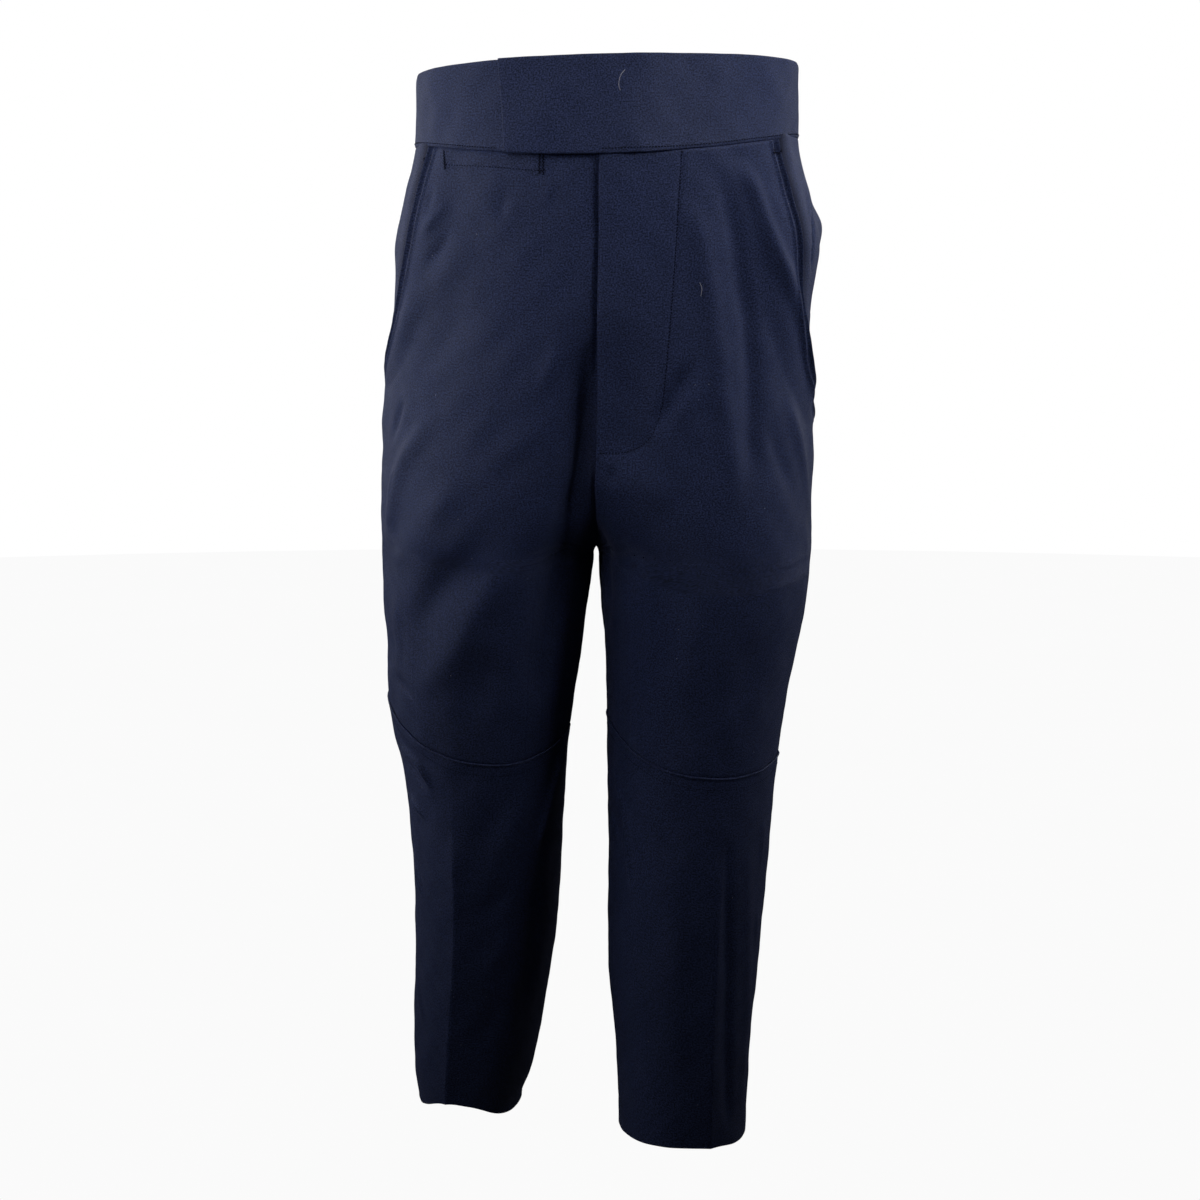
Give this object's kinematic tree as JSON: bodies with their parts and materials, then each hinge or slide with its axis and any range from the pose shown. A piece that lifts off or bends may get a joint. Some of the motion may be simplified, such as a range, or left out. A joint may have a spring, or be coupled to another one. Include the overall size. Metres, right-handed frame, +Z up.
{
  "type": "dress trousers",
  "caption": "Dark navy twill dress trousers, filled out as worn, with a deep tab waistband, hidden fly, slanted pockets and tapered legs seamed under the knee that end at the calf.",
  "frame": {"origin": "centre of the waist, halfway up the waistband, where the wearer holds the trousers up", "axes": "+Z up, -Y to the front, +X to the wearer's left"},
  "size_m": [0.345, 0.25, 0.8554],
  "materials": {
    "cloth": "matt twill",
    "tape": "matt woven tape",
    "metal": "satin nickel"
  },
  "bodies": {
    "root": {"front_right_thigh": "cloth", "front_right_shin": "cloth", "back_right": "cloth", "pocket_facing_right": "cloth", "front_left_thigh": "cloth", "front_left_shin": "cloth", "back_left": "cloth", "pocket_facing_left": "cloth", "waistband_right": "cloth", "waistband_left": "cloth", "zip_tape": "tape", "zip_slider": "metal", "waist_hook": "metal", "waist_bar": "metal"}
  },
  "joints": []
}
